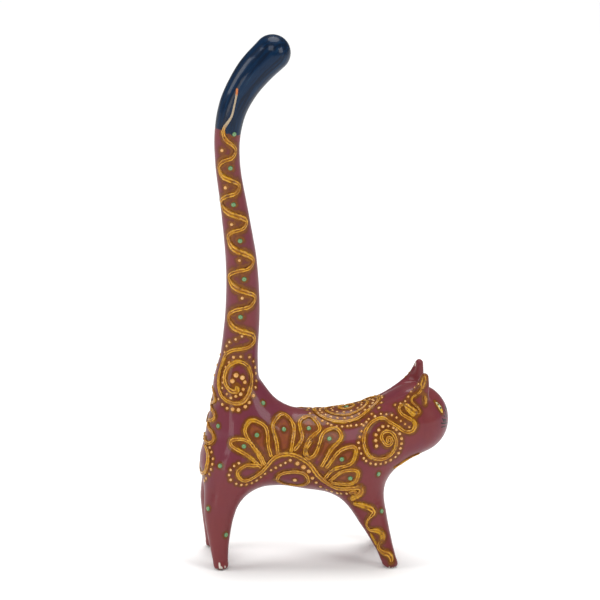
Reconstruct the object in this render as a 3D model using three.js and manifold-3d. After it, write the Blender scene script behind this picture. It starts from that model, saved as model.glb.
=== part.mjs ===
// A papier-mache cat ornament: a small cat standing on four peg legs, with a tall upright tail that ends
// in a thick rounded tip. Body, legs, tail, head and ears are one pulp form, and raised piped lines run
// over both flanks. Millimetres, +Z up, +X the way the cat looks, the origin on the floor under its middle.

import * as THREE from "three";
import { mergeVertices } from "three/addons/utils/BufferGeometryUtils.js";
import Module from "manifold-3d";

const wasm = await Module();
wasm.setup();

// Driving dimensions.
const FOOT_SPREAD = 21; // from the middle plane to the middle of a foot
const FOOT_RADIUS = 4.3;
const FOOT_HEIGHT = 4.8; // from the floor to the middle of a foot's rounded end, inside its peg
const EAR_SPREAD = 13.5; // from the middle plane to the tip of an ear
const FAR_LEG_LEAN = 1.8; // how much further back the far hind foot stands than the near one
const FAR_LEG_TUCK = 5; // how much closer to the middle plane it stands
const LINE_HALF_WIDTH = 1.3; // of a raised piped line, where it leaves the skin
const LINE_HEIGHT = 1.1; // over the skin
const LINE_ROOT = 0.9; // how far its base lies under the skin
const LINE_STEP = 6.6; // length of one straight link of a line
const TURN_STEP = 25; // degrees of a spiral from one drawn point to the next

// A foot's peg from its sole up, as [radius, height]; the last point is inside the leg.
const FOOT_SIDES = 10;
const FOOT_PROFILE = [[0, 0], [3.4, 0], [4.3, 1.4], [4.9, 9], [0, 14]];

// How softly neighbouring forms flow into each other.
const BLEND_SADDLE = 25;
const BLEND_NECK = 13;
const BLEND_LEG = 12;
const BLEND_EAR = 7;

// A limb is a row of stations [x, y, z, radius, width]: width is the half-width across the cat as a share
// of the radius. Smooth curves join the stations.
const TAIL = [
  [-32, 0, 288.5, 10.1, 1],
  [-41.4, 0, 278.7, 9.6, 1],
  [-48.7, 0, 267.7, 8.6, 1],
  [-53.4, 0, 256.7, 7.9, 1],
  [-55.9, 0, 241.7, 7.2, 1],
  [-55.3, 0, 224.7, 6.8, 1],
  [-51.1, 0, 198.7, 7.5, 1],
  [-47.3, 0, 171.7, 8.6, 1],
  [-46.2, 0, 146.7, 9.4, 1],
  [-47.8, 0, 116.7, 10.5, 1],
  [-49, 0, 101.7, 12.9, 1],
  [-47, 0, 90.7, 15.2, 1],
  [-47.4, 0, 77.7, 16.6, 1],
  [-51.2, 0, 60.7, 13.2, 1],
];
const TORSO = [
  [-38.2, 0, 61.7, 17, 1],
  [-24.2, 0, 63.5, 20.6, 1],
  [1.8, 0, 62.3, 23, 0.95],
  [17.8, 0, 63.7, 21.5, 0.95],
];
const HEAD = [
  [21.8, 0, 66.7, 17, 1],
  [35.8, 0, 72.6, 18.9, 1],
  [50.1, 0, 80.1, 19.6, 1],
];
const HIND_LEG = [
  [-53.2, 9, 52.7, 12.6, 1],
  [-58.5, 14.5, 32.7, 8.9, 1],
  [-59, 18.5, 15.7, 5.9, 1],
  [-58.2, FOOT_SPREAD, FOOT_HEIGHT, FOOT_RADIUS, 1],
];
const FORE_LEG = [
  [17.5, 9, 50.7, 13.4, 1],
  [26, 14.5, 29.7, 8.5, 1],
  [32.1, 18.5, 14.7, 5.5, 1],
  [35.7, FOOT_SPREAD, FOOT_HEIGHT, FOOT_RADIUS, 1],
];
const EAR = [
  [30.6, 10, 80.4, 7, 0.8],
  [41, 12.5, 85.9, 7, 0.6],
  [48.4, 13.6, 92.9, 6.2, 0.5],
  [52.6, 13.8, 100.8, 4.4, 0.55],
  [54.2, EAR_SPREAD, 108.2, 2.4, 0.9],
];

// The limb on the near side, for one on the far side.
const mirrored = (stations) => stations.map(([x, y, z, radius, width]) => [x, -y, z, radius, width]);

// A limb's stations, joined by smooth curves and cut into short straight links.
function linksOf(stations, perStation = 4) {
  const places = stations.map(([x, y, z]) => new THREE.Vector3(x, y, z));
  const sizes = stations.map(([, , , radius, width]) => new THREE.Vector3(radius, width, 0));
  const middle = new THREE.CatmullRomCurve3(places, false, "centripetal");
  const size = new THREE.CatmullRomCurve3(sizes, false, "catmullrom");
  const count = (stations.length - 1) * perStation;
  const joints = Array.from({ length: count + 1 }, (_, i) => {
    const { x, y, z } = middle.getPoint(i / count);
    const { x: radius, y: width } = size.getPoint(i / count);
    return { x, y, z, radius, width };
  });
  return joints.slice(1).map((end, i) => ({ start: joints[i], end }));
}

// Roughly how far p is outside a limb; negative inside.
function limbDistance(p, links) {
  let least = Infinity;
  for (const { start, end } of links) {
    const width = (start.width + end.width) / 2;
    const dx = end.x - start.x;
    const dy = (end.y - start.y) / width;
    const dz = end.z - start.z;
    const px = p.x - start.x;
    const py = (p.y - start.y) / width;
    const pz = p.z - start.z;
    const along = (px * dx + py * dy + pz * dz) / (dx * dx + dy * dy + dz * dz);
    const t = Math.min(1, Math.max(0, along));
    const off = Math.hypot(px - t * dx, py - t * dy, pz - t * dz);
    least = Math.min(least, off - (start.radius + t * (end.radius - start.radius)));
  }
  return least;
}

// The lesser of two distances, rounded off where they are alike.
function blend(a, b, softness) {
  const share = Math.max(softness - Math.abs(a - b), 0) / softness;
  return Math.min(a, b) - (share * share * softness) / 4;
}

// Each leg is moulded by hand, so the far hind one isn't quite like the near one.
const FAR_HIND_LEG = HIND_LEG.map(([x, y, ...rest], i) => {
  const share = (i / (HIND_LEG.length - 1)) ** 2;
  return [x - share * FAR_LEG_LEAN, y - share * FAR_LEG_TUCK, ...rest];
});
const LEGS = [FAR_HIND_LEG, mirrored(HIND_LEG), FORE_LEG, mirrored(FORE_LEG)];
const EARS = [EAR, mirrored(EAR)];

const tail = linksOf(TAIL);
const torso = linksOf(TORSO);
const head = linksOf(HEAD);
const legs = LEGS.map((leg) => linksOf(leg));
const ears = EARS.map((ear) => linksOf(ear));

// Roughly how far p is outside the whole cat.
function catDistance(p) {
  let distance = blend(limbDistance(p, torso), limbDistance(p, tail), BLEND_SADDLE);
  distance = blend(distance, limbDistance(p, head), BLEND_NECK);
  for (const leg of legs) distance = blend(distance, limbDistance(p, leg), BLEND_LEG);
  for (const ear of ears) distance = blend(distance, limbDistance(p, ear), BLEND_EAR);
  return distance;
}

// Which way the distance grows, and how fast.
function slopeOf(distance, p, step = 0.05) {
  const here = distance(p);
  return new THREE.Vector3(
    distance(p.clone().setX(p.x + step)) - here,
    distance(p.clone().setY(p.y + step)) - here,
    distance(p.clone().setZ(p.z + step)) - here,
  ).divideScalar(step);
}

// Grid lines through stretches [from, to, step] that follow each other.
function gridLines(...stretches) {
  const lines = [stretches[0][0]];
  for (const [from, to, step] of stretches) {
    const count = Math.ceil((to - from) / step);
    for (let i = 1; i <= count; i++) lines.push(from + ((to - from) * i) / count);
  }
  return lines;
}

// The twelve edges of a grid cell, as pairs of its eight corners.
const CELL_EDGES = [
  [0, 1], [2, 3], [4, 5], [6, 7],
  [0, 2], [1, 3], [4, 6], [5, 7],
  [0, 4], [1, 5], [2, 6], [3, 7],
];

// A closed skin where distance is zero: one corner in each grid cell that the skin passes through, moved
// onto it, and one four-sided face across each grid edge that the skin cuts.
function skinOf(distance, xs, ys, zs) {
  const settlingPasses = 3;
  const slack = 0.5; // how far a corner may leave its cell, as a share of the cell
  const number = (i, j, k) => (k * ys.length + j) * xs.length + i;
  const gridPoint = (i, j, k) => new THREE.Vector3(xs[i], ys[j], zs[k]);
  const field = new Float64Array(xs.length * ys.length * zs.length);
  const eachCell = (first, visit) => {
    for (let k = first; k < zs.length - 1; k++)
      for (let j = first; j < ys.length - 1; j++)
        for (let i = first; i < xs.length - 1; i++) visit(i, j, k);
  };
  zs.forEach((z, k) => ys.forEach((y, j) => xs.forEach((x, i) => {
    field[number(i, j, k)] = distance(gridPoint(i, j, k));
  })));

  const corners = [];
  const cornerOf = new Map();
  eachCell(0, (i, j, k) => {
    const cell = Array.from({ length: 8 }, (_, c) => {
      const place = [i + (c & 1), j + ((c >> 1) & 1), k + (c >> 2)];
      return { at: gridPoint(...place), value: field[number(...place)] };
    });
    const edges = CELL_EDGES.map(([a, b]) => [cell[a], cell[b]]);
    const cuts = edges.filter(([a, b]) => a.value < 0 !== b.value < 0);
    if (!cuts.length) return;
    const corner = new THREE.Vector3();
    for (const [a, b] of cuts) corner.add(a.at.clone().lerp(b.at, a.value / (a.value - b.value)));
    corner.divideScalar(cuts.length);
    const low = cell[0].at.clone().lerp(cell[7].at, -slack);
    const high = cell[0].at.clone().lerp(cell[7].at, 1 + slack);
    for (let pass = 0; pass < settlingPasses; pass++) {
      const slope = slopeOf(distance, corner);
      corner.addScaledVector(slope, -distance(corner) / slope.lengthSq()).clamp(low, high);
    }
    cornerOf.set(number(i, j, k), corners.length);
    corners.push(corner);
  });

  const faces = [];
  const addFace = (cells, outward) => {
    const [a, b, c, d] = cells.map((cell) => cornerOf.get(number(...cell)));
    const acrossAC = corners[a].distanceTo(corners[c]) < corners[b].distanceTo(corners[d]);
    const halves = acrossAC ? [[a, b, c], [a, c, d]] : [[a, b, d], [b, c, d]];
    for (const half of halves) faces.push(...(outward ? half : half.toReversed()));
  };
  eachCell(1, (i, j, k) => {
    const inside = field[number(i, j, k)] < 0;
    if (inside !== field[number(i + 1, j, k)] < 0)
      addFace([[i, j - 1, k - 1], [i, j, k - 1], [i, j, k], [i, j - 1, k]], inside);
    if (inside !== field[number(i, j + 1, k)] < 0)
      addFace([[i - 1, j, k - 1], [i - 1, j, k], [i, j, k], [i, j, k - 1]], inside);
    if (inside !== field[number(i, j, k + 1)] < 0)
      addFace([[i - 1, j - 1, k], [i, j - 1, k], [i, j, k], [i - 1, j, k]], inside);
  });
  return solidOf(corners, faces);
}

// A solid from its corners and the corner numbers of its faces.
function solidOf(corners, faces) {
  const vertProperties = new Float32Array(corners.flatMap((corner) => corner.toArray()));
  return new wasm.Manifold(new wasm.Mesh({ numProp: 3, vertProperties, triVerts: new Uint32Array(faces) }));
}

// A solid from a closed three.js geometry whose shared corners are merged.
function solidOfIndexed(geometry) {
  const vertProperties = geometry.attributes.position.array;
  const triVerts = new Uint32Array(geometry.index.array);
  return new wasm.Manifold(new wasm.Mesh({ numProp: 3, vertProperties, triVerts }));
}

// The piped lines are drawn on the flank as seen from the side, in points [x, z].

// The middle and radius of the tail at a height.
function tailAt(z) {
  const link = tail.find(({ start, end }) => z <= start.z && z >= end.z);
  const t = (link.start.z - z) / (link.start.z - link.end.z);
  return {
    x: THREE.MathUtils.lerp(link.start.x, link.end.x, t),
    radius: THREE.MathUtils.lerp(link.start.radius, link.end.radius, t),
  };
}

// The wave down the side of the tail, from the thin thread at its top.
function tailWave() {
  const top = 247.2;
  const halfWave = 10.4;
  const swings = 11.6;
  const reach = 0.72; // share of the tail's radius
  const thread = [[-51.1, 271], [-53.5, 257.5]];
  const wave = Array.from({ length: Math.ceil(swings * 4) + 1 }, (_, i) => {
    const z = top - (halfWave * i) / 4;
    const { x, radius } = tailAt(z);
    return [x - reach * radius * Math.cos((i * Math.PI) / 4), z];
  });
  return [...thread, ...wave];
}

// A spiral from its outer end inwards, anticlockwise; angles are in degrees and narrow squeezes it
// along x.
function spiral({ centre: [x, z], outer, inner, from, to, narrow = 1, hold = 1 }) {
  const count = Math.ceil((to - from) / TURN_STEP);
  return Array.from({ length: count + 1 }, (_, i) => {
    const angle = THREE.MathUtils.degToRad(from + ((to - from) * i) / count);
    const radius = outer + (inner - outer) * (i / count) ** hold;
    return [x + narrow * radius * Math.cos(angle), z + radius * Math.sin(angle)];
  });
}

// A petal's loop: out from its narrow base, round its broad tip and back.
function petal([baseX, baseZ, tipX, tipZ, width]) {
  const count = 12;
  const open = 0.5; // how far round from the very base the loop starts and ends, in radians
  return Array.from({ length: count + 1 }, (_, i) => {
    const turn = open + ((2 * Math.PI - 2 * open) * i) / count;
    const along = (1 - Math.cos(turn)) / 2;
    const length = Math.hypot(tipX - baseX, tipZ - baseZ);
    const across = (0.65 * width * Math.sin(turn) * Math.sin(turn / 2)) / length;
    return [
      baseX + along * (tipX - baseX) - across * (tipZ - baseZ),
      baseZ + along * (tipZ - baseZ) + across * (tipX - baseX),
    ];
  });
}

const RUMP_SPIRAL = {
  centre: [-50.2, 105.2],
  outer: 11.6,
  inner: 3.4,
  from: 125,
  to: 655,
  narrow: 0.76,
  hold: 3,
};
const SHOULDER_SPIRAL = {
  centre: [29.7, 74.2],
  outer: 10.4,
  inner: 3,
  from: 75,
  to: 470,
  hold: 2,
};
// From the tip of the ear down its outside and over to the shoulder spiral.
const SHOULDER_LINE = [
  [53.2, 105.7], [50.2, 100.1], [47, 95.5],
  [49.6, 91.3], [42.8, 90.3], [47.6, 85.1],
  [48.2, 80.5], [43.8, 78.5], [37.8, 81.5],
];
// The arch under the petals, from the comma at its rear end to its front end.
const ARCH = [
  [-38.7, 60.1], [-47.2, 60.2], [-51.7, 55.2], [-45.7, 51.3], [-37, 56.8],
  [-31.9, 62.5], [-23.7, 66.7], [-14.9, 65.1], [-8.7, 59.9],
  [-2.2, 51.9], [4.3, 46.9], [10.3, 45.9], [18, 48.1],
];
// Each petal as [base x, base z, tip x, tip z, width].
const PETALS = [
  [-33.9, 60.4, -53.1, 74, 9.5],
  [-33, 61.9, -41.6, 85.5, 13],
  [-24.4, 67.1, -24.5, 86.6, 12.6],
  [-14.8, 65.4, -9.3, 84.1, 12.2],
  [-5.7, 57.7, 8.7, 77.3, 11.4],
  [-2.6, 53.1, 17, 68.9, 10.6],
  [1.6, 48.7, 18.4, 56.3, 8],
];
// The vine down the outside of the fore leg.
const VINE = [
  [15.3, 45.2], [14.4, 38.3], [22.2, 37.3], [26.4, 33.3], [23.3, 27.2],
  [25.3, 22.5], [31.4, 19.1], [30, 13.9], [33.2, 9.3], [36.4, 5.1],
];

// The skin's point at [x, z] on one flank: side is -1 for the flank that faces -Y and 1 for the other.
function onFlank(x, z, side) {
  const outside = 40;
  const mostSteps = 80;
  const p = new THREE.Vector3(x, side * outside, z);
  for (let i = 0; i < mostSteps && p.y * side > 0; i++) p.y -= side * catDistance(p);
  return p;
}

// One raised line: a ridge of three-cornered section that follows the skin through the drawn points.
function pipedLine(drawn, side) {
  const rough = new THREE.CatmullRomCurve3(drawn.map(([x, z]) => onFlank(x, z, side)), false, "centripetal");
  const count = Math.max(3, Math.round(rough.getLength() / LINE_STEP));
  const path = rough.getSpacedPoints(count).map(({ x, z }) => onFlank(x, z, side));
  const corners = path.flatMap((p, i) => {
    const along = path[Math.min(i + 1, count)].clone().sub(path[Math.max(i - 1, 0)]);
    const up = slopeOf(catDistance, p).normalize();
    const across = new THREE.Vector3().crossVectors(up, along).normalize();
    return [
      p.clone().addScaledVector(across, LINE_HALF_WIDTH).addScaledVector(up, -LINE_ROOT),
      p.clone().addScaledVector(across, -LINE_HALF_WIDTH).addScaledVector(up, -LINE_ROOT),
      p.clone().addScaledVector(up, LINE_HEIGHT),
    ];
  });
  const faces = [0, 1, 2];
  for (let i = 0; i < count; i++) {
    for (let c = 0; c < 3; c++) {
      const a = 3 * i + c;
      const b = 3 * i + ((c + 1) % 3);
      faces.push(a, b + 3, b, a, a + 3, b + 3);
    }
  }
  faces.push(3 * count, 3 * count + 2, 3 * count + 1);
  return solidOf(corners, faces);
}

// The flank that faces -Y has the whole ornament.
function richFlank() {
  const rearLine = [...tailWave(), ...spiral(RUMP_SPIRAL)];
  const foreLine = [...SHOULDER_LINE, ...spiral(SHOULDER_SPIRAL)];
  return [rearLine, foreLine, ARCH, VINE, ...PETALS.map(petal)].map((drawn) => pipedLine(drawn, -1));
}

// The other flank is plainer: the two spirals, the arch and every other petal.
function plainFlank() {
  const petals = PETALS.filter((_, i) => i % 2 === 1).map(petal);
  return [spiral(RUMP_SPIRAL), spiral(SHOULDER_SPIRAL), ARCH, ...petals].map((drawn) => pipedLine(drawn, 1));
}

// A foot: a round peg with a flat sole and a softly rounded edge, leaning as its leg does.
function footOf(leg) {
  const points = FOOT_PROFILE.map(([radius, height]) => new THREE.Vector2(radius, height));
  const peg = new THREE.LatheGeometry(points, FOOT_SIDES).rotateX(Math.PI / 2);
  const [ankle, foot] = leg.slice(-2);
  const leanX = (ankle[0] - foot[0]) / (ankle[2] - foot[2]);
  const leanY = (ankle[1] - foot[1]) / (ankle[2] - foot[2]);
  const place = peg.getAttribute("position");
  for (let i = 0; i < place.count; i++) {
    const rise = place.getZ(i) - foot[2];
    place.setX(i, place.getX(i) + foot[0] + rise * leanX);
    place.setY(i, place.getY(i) + foot[1] + rise * leanY);
  }
  peg.deleteAttribute("normal");
  peg.deleteAttribute("uv");
  return solidOfIndexed(mergeVertices(peg));
}

// The grid is finer at the ears and coarser along the tail.
const xs = gridLines([-78, 42, 5.5], [42, 58, 3.2], [58, 78, 5]);
const ys = gridLines([-34, 34, 4.5]);
const zs = gridLines([-12, 91, 5.5], [91, 115, 3.4], [115, 307, 8.2]);
let solid = skinOf(catDistance, xs, ys, zs);
for (const line of [...richFlank(), ...plainFlank()]) solid = solid.add(line);
for (const leg of LEGS) solid = solid.add(footOf(leg));

// Corners closer than this become one, so that no sliver is left where a line crosses an edge of the skin.
const WELD = 0.03;

// The same solid without slivers.
function welded(rough) {
  const mesh = rough.getMesh();
  const geometry = new THREE.BufferGeometry();
  geometry.setAttribute("position", new THREE.BufferAttribute(mesh.vertProperties, 3));
  geometry.setIndex(new THREE.BufferAttribute(mesh.triVerts, 1));
  const merged = mergeVertices(geometry, WELD);
  const faces = [];
  for (let i = 0; i < merged.index.count; i += 3) {
    const face = [0, 1, 2].map((c) => merged.index.getX(i + c));
    if (new Set(face).size === 3) faces.push(...face);
  }
  merged.setIndex(faces);
  const bodies = solidOfIndexed(merged).decompose();
  return bodies.reduce((largest, body) => (body.volume() > largest.volume() ? body : largest));
}

const made = welded(solid).getMesh();
const geometry = new THREE.BufferGeometry();
geometry.setAttribute("position", new THREE.BufferAttribute(made.vertProperties, 3));
geometry.setIndex(new THREE.BufferAttribute(made.triVerts, 1));
geometry.computeVertexNormals();

const lacquer = new THREE.MeshStandardMaterial({ color: 0x6e3442, roughness: 0.3, metalness: 0 });
const cat = new THREE.Mesh(geometry, lacquer);
cat.name = "cat";

const group = new THREE.Group();
group.add(cat);
export default group;
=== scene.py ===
import math

import bpy
import numpy as np
from mathutils import Matrix, Vector, bvhtree, kdtree, noise


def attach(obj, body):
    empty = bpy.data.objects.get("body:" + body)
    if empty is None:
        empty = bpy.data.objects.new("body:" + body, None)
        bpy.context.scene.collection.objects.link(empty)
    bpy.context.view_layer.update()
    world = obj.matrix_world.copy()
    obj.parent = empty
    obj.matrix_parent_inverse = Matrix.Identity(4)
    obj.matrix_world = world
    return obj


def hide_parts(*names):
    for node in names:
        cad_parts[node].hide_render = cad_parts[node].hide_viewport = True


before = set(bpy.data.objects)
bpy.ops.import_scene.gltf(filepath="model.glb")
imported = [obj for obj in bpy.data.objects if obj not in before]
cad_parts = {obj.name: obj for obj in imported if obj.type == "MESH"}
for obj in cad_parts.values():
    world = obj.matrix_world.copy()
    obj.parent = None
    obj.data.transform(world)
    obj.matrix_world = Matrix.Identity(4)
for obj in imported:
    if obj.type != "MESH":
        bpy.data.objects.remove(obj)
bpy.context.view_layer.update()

# The pulp form: torso, head, upright tail, four peg legs and two ears, moulded as one piece of
# papier-mache and smoothed by hand. Each limb is a row of stations [x, y, z, radius, width] in
# millimetres; smooth curves join the stations, and the limbs flow into each other.
mm = 0.001
foot_spread = 21
foot_radius = 4.3
foot_height = 4.8
ear_spread = 13.5
far_leg_lean, far_leg_tuck = 1.8, 5
blend_saddle, blend_neck, blend_leg, blend_ear, blend_sole = 25, 13, 12, 7, 2.4
tail = [
    [-32, 0, 288.5, 10.1, 1],
    [-41.4, 0, 278.7, 9.6, 1],
    [-48.7, 0, 267.7, 8.6, 1],
    [-53.4, 0, 256.7, 7.9, 1],
    [-55.9, 0, 241.7, 7.2, 1],
    [-55.3, 0, 224.7, 6.8, 1],
    [-51.1, 0, 198.7, 7.5, 1],
    [-47.3, 0, 171.7, 8.6, 1],
    [-46.2, 0, 146.7, 9.4, 1],
    [-47.8, 0, 116.7, 10.5, 1],
    [-49, 0, 101.7, 12.9, 1],
    [-47, 0, 90.7, 15.2, 1],
    [-47.4, 0, 77.7, 16.6, 1],
    [-51.2, 0, 60.7, 13.2, 1],
]
torso = [
    [-38.2, 0, 61.7, 17, 1],
    [-24.2, 0, 63.5, 20.6, 1],
    [1.8, 0, 62.3, 23, 0.95],
    [17.8, 0, 63.7, 21.5, 0.95],
]
head = [
    [21.8, 0, 66.7, 17, 1],
    [35.8, 0, 72.6, 18.9, 1],
    [50.1, 0, 80.1, 19.6, 1],
]
hind_leg = [
    [-53.2, 9, 52.7, 12.6, 1],
    [-58.5, 14.5, 32.7, 8.9, 1],
    [-59, 18.5, 15.7, 5.9, 1],
    [-58.2, foot_spread, foot_height, foot_radius, 1],
]
fore_leg = [
    [17.5, 9, 50.7, 13.4, 1],
    [26, 14.5, 29.7, 8.5, 1],
    [32.1, 18.5, 14.7, 5.5, 1],
    [35.7, foot_spread, foot_height, foot_radius, 1],
]
ear = [
    [30.6, 10, 80.4, 7, 0.8],
    [41, 12.5, 85.9, 7, 0.6],
    [48.4, 13.6, 92.9, 6.2, 0.5],
    [52.6, 13.8, 100.8, 4.4, 0.55],
    [54.2, ear_spread, 108.2, 2.4, 0.9],
]


def curve_through(rows, steps, centripetal=True):
    """Points on a smooth curve through the rows, with that many steps between each two."""
    rows = np.asarray(rows, float)
    knots = np.vstack([2 * rows[0] - rows[1], rows, 2 * rows[-1] - rows[-2]])
    points = []
    for before, start, end, after in zip(knots, knots[1:], knots[2:], knots[3:]):
        if centripetal:
            a = np.linalg.norm(start - before) ** 0.5
            b = np.linalg.norm(end - start) ** 0.5
            c = np.linalg.norm(after - end) ** 0.5
            leave = b * ((start - before) / a - (end - before) / (a + b) + (end - start) / b)
            arrive = b * ((end - start) / b - (after - start) / (b + c) + (after - end) / c)
        else:
            leave, arrive = (end - before) / 2, (after - start) / 2
        for t in np.arange(steps) / steps:
            bend = 3 * (end - start) - 2 * leave - arrive
            twist = 2 * (start - end) + leave + arrive
            points.append(start + t * leave + t * t * bend + t ** 3 * twist)
    return np.array(points + [rows[-1]])


def limb_of(stations, steps=8):
    """A limb's stations with smooth ones between them."""
    rows = np.asarray(stations, float)
    middle = curve_through(rows[:, :3], steps)
    size = curve_through(rows[:, 3:], steps, centripetal=False)
    return np.hstack([middle, size])


def mirrored(limb):
    return limb * [1, -1, 1, 1, 1]


def limb_distance(points, limb):
    """Roughly how far each point is outside a limb."""
    least = np.full(len(points), np.inf)
    for start, end in zip(limb, limb[1:]):
        squeeze = np.array([1, 2 / (start[4] + end[4]), 1])
        along = (end[:3] - start[:3]) * squeeze
        from_start = (points - start[:3]) * squeeze
        share = np.clip(from_start @ along / (along @ along), 0, 1)
        off = np.linalg.norm(from_start - share[:, None] * along, axis=1)
        least = np.minimum(least, off - start[3] - share * (end[3] - start[3]))
    return least


def blended(a, b, softness):
    """The lesser of two distances, rounded off where they are alike."""
    share = np.maximum(softness - abs(a - b), 0) / softness
    return np.minimum(a, b) - share * share * softness / 4


def leg_of(stations):
    """A leg that runs on below its last station, so that the floor cuts its sole flat."""
    run_on = 0.9
    ankle, foot = np.array(stations[-2:], float)
    below = foot + (foot - ankle) * run_on
    below[3:] = foot[3:]
    return np.vstack([limb_of(stations), below])


# moulded by hand, the far hind leg isn't quite like the near one
last_station = len(hind_leg) - 1
far_hind_leg = []
for index, (x, y, *rest) in enumerate(hind_leg):
    share = (index / last_station) ** 2
    far_hind_leg.append([x - far_leg_lean * share, y - far_leg_tuck * share, *rest])
fore_limb = leg_of(fore_leg)
leg_limbs = [leg_of(far_hind_leg), mirrored(leg_of(hind_leg)), fore_limb, mirrored(fore_limb)]
ear_limbs = [limb_of(ear), mirrored(limb_of(ear))]
tail_limb, torso_limb, head_limb = limb_of(tail), limb_of(torso), limb_of(head)


def pulp_distance(points):
    """Roughly how far each point, in millimetres, is outside the cat."""
    distance = blended(limb_distance(points, torso_limb), limb_distance(points, tail_limb), blend_saddle)
    distance = blended(distance, limb_distance(points, head_limb), blend_neck)
    for limb in leg_limbs:
        distance = blended(distance, limb_distance(points, limb), blend_leg)
    for limb in ear_limbs:
        distance = blended(distance, limb_distance(points, limb), blend_ear)
    return -blended(-distance, points[:, 2], blend_sole)


def points_of(piece):
    """A mesh's corners in millimetres."""
    flat = np.empty(3 * len(piece.data.vertices))
    piece.data.vertices.foreach_get("co", flat)
    return flat.reshape(-1, 3) / mm


def set_points(piece, points):
    piece.data.vertices.foreach_set("co", (points * mm).ravel())
    piece.data.update()


def apply_modifier(piece, kind, **settings):
    modifier = piece.modifiers.new(kind.lower(), kind)
    for name, value in settings.items():
        setattr(modifier, name, value)
    bpy.context.view_layer.objects.active = piece
    bpy.ops.object.modifier_apply(modifier=modifier.name)


def select_only(pieces):
    bpy.ops.object.select_all(action="DESELECT")
    for piece in pieces:
        piece.select_set(True)
    bpy.context.view_layer.objects.active = pieces[0]


rolls = []
for limb in [tail_limb, torso_limb, head_limb, *leg_limbs, *ear_limbs]:
    limb = limb[limb[:, 2] > 0]
    bpy.ops.object.select_all(action="DESELECT")
    bpy.ops.curve.primitive_nurbs_path_add()
    roll = bpy.context.object
    roll.data.splines.clear()
    spline = roll.data.splines.new("POLY")
    spline.points.add(len(limb) - 1)
    for point, (x, y, z, radius) in zip(spline.points, limb[:, :4]):
        point.co = (x * mm, y * mm, z * mm, 1)
        point.radius = radius
    roll.data.bevel_depth = mm
    roll.data.bevel_resolution = 8
    roll.data.use_fill_caps = True
    rolls.append(roll)
    for x, y, z, radius in limb[[0, -1], :4]:
        bpy.ops.mesh.primitive_uv_sphere_add(radius=radius * mm, location=(x * mm, y * mm, z * mm))
        rolls.append(bpy.context.object)
select_only(rolls)
bpy.ops.object.convert(target="MESH")
bpy.ops.object.join()
bpy.ops.object.transform_apply(location=True, rotation=True, scale=True)
skin = bpy.context.object
skin.name = skin.data.name = "pulp_skin"
grain = 0.85 * mm
apply_modifier(skin, "REMESH", mode="VOXEL", voxel_size=grain)


def pressed_to_form(points, passes):
    """The points moved onto the smooth form."""
    step = 0.05
    least_slope = 0.25
    for _ in range(passes):
        here = pulp_distance(points)
        slope = np.stack([(pulp_distance(points + step * axis) - here) / step for axis in np.eye(3)], 1)
        steepness = np.maximum((slope * slope).sum(1), least_slope)
        points = points - slope * (here / steepness)[:, None]
    return points


for passes in (1, 1, 2):
    set_points(skin, pressed_to_form(points_of(skin), passes))
    apply_modifier(skin, "SMOOTH", factor=0.5, iterations=6)
smooth_form = points_of(skin)

# hand-smoothed pulp is never quite even, but the soles stay flat
broad_swell, broad_length = 0.2, 24
small_swell, small_length = 0.06, 6
full_swell_height = 6
normals = np.array([vertex.normal for vertex in skin.data.vertices])
swell = np.array([
    broad_swell * noise.noise(Vector(point) / broad_length)
    + small_swell * noise.noise(Vector(point) / small_length)
    for point in smooth_form
])
swell *= np.clip(smooth_form[:, 2] / full_swell_height, 0, 1)
set_points(skin, smooth_form + normals * swell[:, None])


def shade_smooth(mesh):
    mesh.polygons.foreach_set("use_smooth", np.ones(len(mesh.polygons), bool))


shade_smooth(skin.data)


# The lacquer on the pulp: dark plum, redder down the legs, with a navy tail tip, both brushed on and
# varnished. An amber wash lies beside the gold lines, with a brown band that is partly painted shade, the
# nose and mouth are thin black strokes, and the varnish is chipped at the near hind foot, at the ears and
# round the soles.
legs_end, body_begins = 0.02, 0.06
plum_ends, navy_begins = 0.2282, 0.229
edge_lean, edge_ragged = 0.3, 0.0009
sole_rim, unworn_height = 0.0004, 0.0032
bristle_depth = 1.8
upper_stations = 9


def linear(red, green, blue):
    """A colour given as it looks on paper, in steps of 255."""
    shares = [value / 255 for value in (red, green, blue)]
    return (*[s / 12.92 if s <= 0.04045 else ((s + 0.055) / 1.055) ** 2.4 for s in shares], 1)


def add_node(tree, kind, inputs=(), **settings):
    """A shader node, with its settings and with its inputs set or linked."""
    made = tree.nodes.new("ShaderNode" + kind)
    for name, value in settings.items():
        setattr(made, name, value)
    for name, value in dict(inputs).items():
        if isinstance(value, bpy.types.NodeSocket):
            tree.links.new(value, made.inputs[name])
        else:
            made.inputs[name].default_value = value
    return made


def mixed(tree, share, first, second):
    """Two colours mixed; the share is the second one's."""
    return add_node(tree, "Mix", {0: share, 6: first, 7: second}, data_type="RGBA").outputs[2]


def speckle(tree, place, scale, detail=3.0, rough=0.55, stretch=(1, 1, 1)):
    """Soft noise over the object, with its scale in spots to a metre."""
    moved = add_node(tree, "Mapping", {"Vector": place, "Scale": stretch})
    inputs = {"Vector": moved.outputs[0], "Scale": scale, "Detail": detail, "Roughness": rough}
    return add_node(tree, "TexNoise", inputs).outputs["Fac"]


def ranged(tree, value, low, high, to_low=0.0, to_high=1.0, smooth=True):
    """The value moved from one range to another, and kept in it."""
    inputs = {"Value": value, "From Min": low, "From Max": high, "To Min": to_low, "To Max": to_high}
    kind = "SMOOTHSTEP" if smooth else "LINEAR"
    return add_node(tree, "MapRange", inputs, interpolation_type=kind).outputs["Result"]


def arithmetic(tree, way, first, second=0.0):
    return add_node(tree, "Math", {0: first, 1: second}, operation=way).outputs[0]


def carried(tree, name):
    """A value that the mesh carries on its corners."""
    return add_node(tree, "Attribute", attribute_name=name).outputs["Fac"]


def carry(mesh, name, values):
    """Values put on the mesh's corners for its paint to read."""
    mesh.attributes.new(name, "FLOAT", "POINT").data.foreach_set("value", values)


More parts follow.
